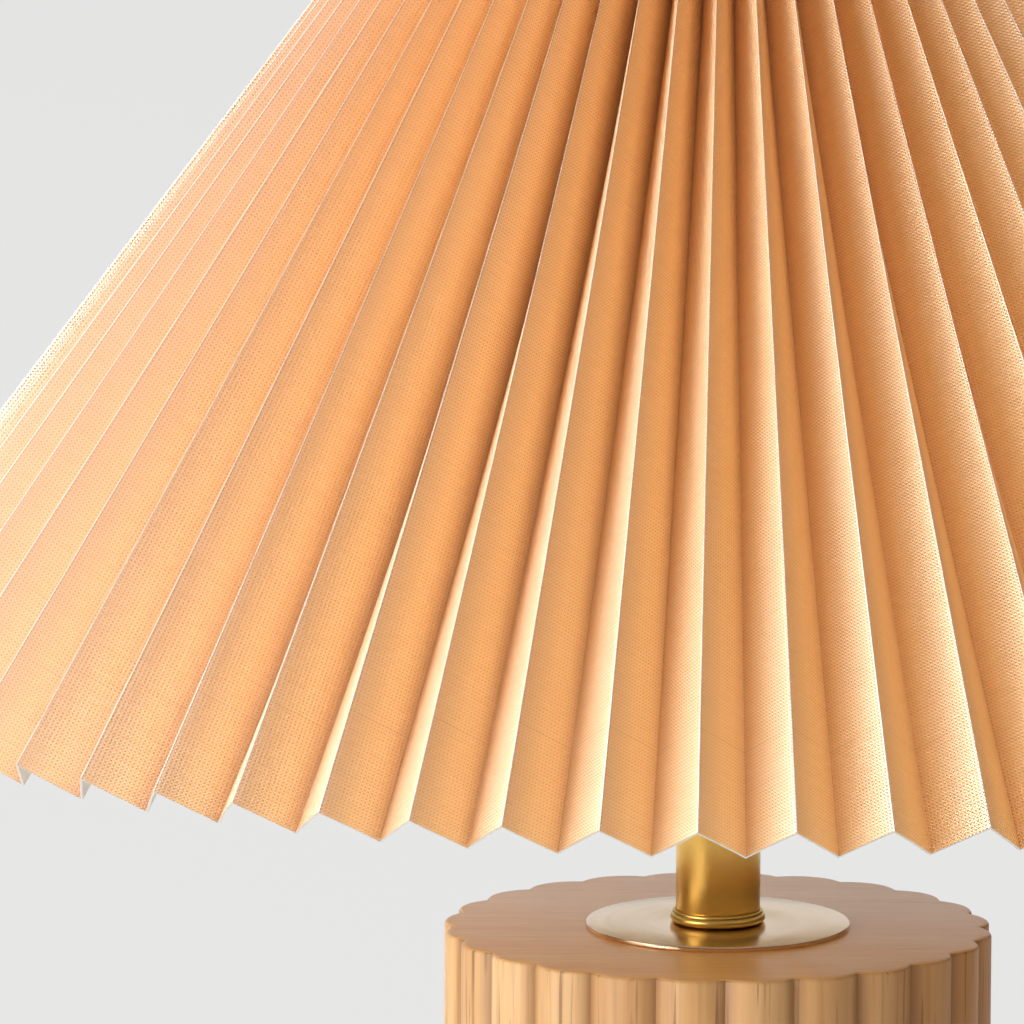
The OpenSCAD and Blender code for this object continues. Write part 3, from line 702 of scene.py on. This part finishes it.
long_way = put(tree, "ShaderNodeCombineXYZ", {
    "X": math_node(tree, "MULTIPLY", parts["X"], slubs_along),
    "Y": math_node(tree, "MULTIPLY", parts["Y"], slubs_up)}).outputs[0]
slubs = noise(tree, long_way, 1.0, 2.0, 0.6)
shift = math_node(tree, "MULTIPLY", math_node(tree, "SUBTRACT", slubs, 0.5), given["Slub"])
picks = math_node(tree, "ADD", math_node(tree, "DIVIDE", parts["Y"], given["Pick"]), shift)
threads = math_node(tree, "DIVIDE", parts["X"], given["Thread"])
odd = math_node(tree, "FLOORED_MODULO", math_node(tree, "FLOOR", threads), 2.0)
over = math_node(tree, "ADD", picks, math_node(tree, "MULTIPLY", odd, 0.5))
thread_round = remap(tree, arch(tree, threads), 0.0, 0.5, 0.7, 1.0)
crown = math_node(tree, "MULTIPLY", arch(tree, over), thread_round)
height = math_node(tree, "ADD", math_node(tree, "MULTIPLY", crown, crown_share),
                   math_node(tree, "MULTIPLY", arch(tree, picks), 1 - crown_share))
height = math_node(tree, "MULTIPLY", height, remap(tree, slubs, 0.25, 0.75, 0.85, 1.05))
tree.links.new(height, out["Height"])
tree.links.new(remap(tree, height, 0.3, 0.7), out["Crown"])
tree.links.new(remap(tree, slubs, 0.3, 0.7), out["Slubs"])

# Cloth: orange threads with paler crowns. Painted shade deepens the colour in the valleys and on one side
# of each ridge. A faint darker line runs across the cloth a little above the hem, a row of pricks lies
# beside each ridge where it was scored, and a pale line runs along the ridge
thread_deep = (0.84, 0.32, 0.05, 1)
thread_crown = (0.97, 0.51, 0.125, 1)
slub_pale = (0.95, 0.60, 0.22, 1)
lee_shade_brown = (0.58, 0.23, 0.05, 1)
valley_shade_brown = (0.62, 0.22, 0.03, 1)
cross_line_brown = (0.55, 0.22, 0.05, 1)
prick_brown = (0.42, 0.17, 0.04, 1)
ridge_pale = (0.90, 0.80, 0.66, 1)
prick_in = 0.00040
pricks_up = 2900.0
shade_cloth, tree, shader, place = material(
    "shade_cloth", Roughness=0.5, IOR=1.9, Specular_IOR_Level=1.0)
flat_place = put(tree, "ShaderNodeUVMap", uv_map="cloth").outputs[0]
cloth = use(tree, weave, Vector=flat_place)
parts = put(tree, "ShaderNodeSeparateXYZ", {0: flat_place}).outputs
from_valley = math_node(tree, "PINGPONG", parts["X"], panel_w)
from_ridge = math_node(tree, "SUBTRACT", panel_w, from_valley)
wander = noise(tree, flat_place, 900.0, 2.0)
# The colour turns paler along each ridge
ridge_line = remap(tree, from_ridge, 0.00012, 0.00028, 1.0, 0.0)
ridge_line = math_node(tree, "MULTIPLY", ridge_line, remap(tree, wander, 0.2, 0.5, 0.6, 1.0))
colour = blend(tree, cloth["Crown"], thread_deep, thread_crown)
colour = blend(tree, remap(tree, cloth["Slubs"], 0, 1, 0.0, 0.12), colour, slub_pale)
# Painted shade: the colour is deeper on one side of each ridge, fading over half a panel
in_pleat = math_node(tree, "FLOORED_MODULO", parts["X"], 2 * panel_w)
past_ridge = math_node(tree, "SUBTRACT", in_pleat, panel_w)
painted_lee_shade = math_node(tree, "GREATER_THAN", past_ridge, 0.0)
painted_lee_shade = math_node(tree, "MULTIPLY", painted_lee_shade, remap(tree, past_ridge, 0.0, 0.5 * panel_w, 0.6, 0.0))
colour = blend(tree, painted_lee_shade, colour, lee_shade_brown)
# Painted shade: the colour is deeper towards each valley
painted_valley_shade = remap(tree, from_valley, 0.0, 0.25 * panel_w, 0.4, 0.0)
colour = blend(tree, painted_valley_shade, colour, valley_shade_brown)
# A faint darker line across the cloth, 21 mm up the slant from the hem
from_cross_line = math_node(tree, "ABSOLUTE", math_node(tree, "SUBTRACT", parts["Y"], cross_line_up))
cross_line = remap(tree, from_cross_line, 0.00006, 0.00018, 0.3, 0.0)
colour = blend(tree, cross_line, colour, cross_line_brown)
beside = math_node(tree, "ABSOLUTE", math_node(tree, "SUBTRACT", from_ridge, prick_in))
wave = math_node(tree, "SINE", math_node(tree, "MULTIPLY", parts["Y"], pricks_up))
pricks = remap(tree, math_node(tree, "ABSOLUTE", wave), 0.3, 0.6)
pricks = math_node(tree, "MULTIPLY", pricks, remap(tree, beside, 0.00004, 0.00011, 0.7, 0.0))
colour = blend(tree, pricks, colour, prick_brown)
colour = blend(tree, ridge_line, colour, ridge_pale)
feed(tree, shader, Base_Color=colour, Roughness=remap(tree, cloth["Crown"], 0, 1, 0.65, 0.45),
     Normal=bump(tree, cloth["Height"], 0.00032, 1.0))

shade_lining, tree, shader, place = material("shade_lining", Roughness=0.55, Specular_IOR_Level=0.4)
flat_place = put(tree, "ShaderNodeUVMap", uv_map="cloth").outputs[0]
cloth = use(tree, weave, Vector=flat_place, Slub=0.2)
mottle = noise(tree, flat_place, 250.0, 4.0)
paper = blend(tree, mottle, (0.86, 0.79, 0.69, 1), (0.92, 0.87, 0.79, 1))
feed(tree, shader, Base_Color=paper, Roughness=remap(tree, mottle, 0.3, 0.7, 0.48, 0.62),
     Normal=bump(tree, cloth["Height"], 0.00003, 0.4))
skin.data.materials.append(shade_cloth)
skin.data.materials.append(shade_lining)
settle(skin, "shade_skin", ["pleated_skin"], "shade_fabric", body="shade", angle=25)


# Setting: a wide pale floor and a pale surround. The main soft light stands high on the left and a little
# behind, with weaker ones low left, behind left and at both sides of the camera. A wide glow shows only in
# the sheen of the cloth, and a small light reaches the wood under the shade.
pale = (0.79, 0.79, 0.785, 1)
deselect()
bpy.ops.mesh.primitive_plane_add(size=24, location=(0, 0, 0))
floor = bpy.context.object
floor.name = "floor"
floor_paint = bpy.data.materials.new("floor_paint")
floor_paint.use_nodes = True
tree = floor_paint.node_tree
shader = tree.nodes["Principled BSDF"]
shader.inputs["Base Color"].default_value = (0.72, 0.72, 0.715, 1)
shader.inputs["Roughness"].default_value = 0.7
seen = put(tree, "ShaderNodeLightPath").outputs
plain = put(tree, "ShaderNodeEmission", {"Color": pale, "Strength": 1.0})
straight = math_node(tree, "MULTIPLY", seen["Is Camera Ray"], 0.95)
lit = put(tree, "ShaderNodeMixShader", {0: straight, 1: shader.outputs[0], 2: plain.outputs[0]})
beneath = put(tree, "ShaderNodeNewGeometry").outputs["Backfacing"]
clear = put(tree, "ShaderNodeBsdfTransparent")
both = put(tree, "ShaderNodeMixShader", {0: beneath, 1: lit.outputs[0], 2: clear.outputs[0]})
tree.links.new(both.outputs[0], tree.nodes["Material Output"].inputs["Surface"])
floor.data.materials.append(floor_paint)

world = bpy.data.worlds.new("surround")
bpy.context.scene.world = world
world.use_nodes = True
tree = world.node_tree
tree.nodes.clear()
seen = put(tree, "ShaderNodeLightPath").outputs
way = put(tree, "ShaderNodeTexCoord").outputs["Generated"]
behind = remap(tree, put(tree, "ShaderNodeSeparateXYZ", {0: way}).outputs["Y"], 0.8, 0.93)
mirrored = math_node(tree, "MULTIPLY", seen["Is Glossy Ray"], behind)
light = put(tree, "ShaderNodeBackground", {
    "Color": (1, 1, 1, 1), "Strength": remap(tree, mirrored, 0, 1, 0.03, 0.79)})
plain = put(tree, "ShaderNodeBackground", {"Color": pale, "Strength": 1.0})
looked_at = math_node(tree, "MAXIMUM", seen["Is Camera Ray"], seen["Is Transmission Ray"])
mixed = put(tree, "ShaderNodeMixShader", {0: looked_at, 1: light.outputs[0], 2: plain.outputs[0]})
put(tree, "ShaderNodeOutputWorld", {0: mixed.outputs[0]})


def soft_light(name, at, width, height, power):
    """A soft box that faces the middle of the lamp."""
    lamp = bpy.data.lights.new(name, "AREA")
    lamp.shape = "RECTANGLE"
    lamp.size = width
    lamp.size_y = height
    lamp.energy = power
    obj = bpy.data.objects.new(name, lamp)
    obj.location = at
    obj.rotation_euler = (Vector((0, 0, 0.22)) - Vector(at)).to_track_quat("-Z", "Y").to_euler()
    bpy.context.scene.collection.objects.link(obj)
    return obj


soft_light("key_light", (-1.22, 0.33, 2.05), 1.1, 1.1, 35)
soft_light("back_light", (-1.34, 1.43, 1.25), 1.1, 1.1, 26)
soft_light("low_light", (-2.05, -0.70, 0.66), 1.1, 0.8, 9)
soft_light("front_light", (-0.78, -1.35, 1.81), 1.3, 1.3, 7)
soft_light("right_light", (0.78, -1.35, 1.81), 1.3, 1.3, 34)
glow = soft_light("glow_light", (-1.66, 0.25, 1.66), 2.2, 2.0, 240)
glow.visible_diffuse = False
under = soft_light("under_light", (-1.55, -1.25, 0.62), 0.9, 0.7, 19)
for lamp, name, pieces in ((glow, "glow_on", [skin]), (under, "under_on", [base, bead])):
    receivers = bpy.data.collections.new(name)
    for piece in pieces:
        receivers.objects.link(piece)
    lamp.light_linking.receiver_collection = receivers

# The camera stands as in the photograph. Its place, turns and lens, in metres, radians and millimetres, were
# solved from the grooves, the disc and the hem
camera_at = (-0.103876, -3.465877, 0.858074)
yaw = 0.0185935
pitch = 0.179368
roll = 0.0060196
lens = bpy.data.cameras.new("camera")
lens.lens = 657.042
lens.sensor_width = 36.0
camera = bpy.data.objects.new("camera", lens)
camera.location = camera_at
camera.rotation_euler = (math.pi / 2 - pitch, 0, -yaw)
camera.rotation_euler.rotate_axis("Z", roll)
bpy.context.scene.collection.objects.link(camera)
bpy.context.scene.camera = camera
bpy.context.scene.view_settings.view_transform = "Standard"
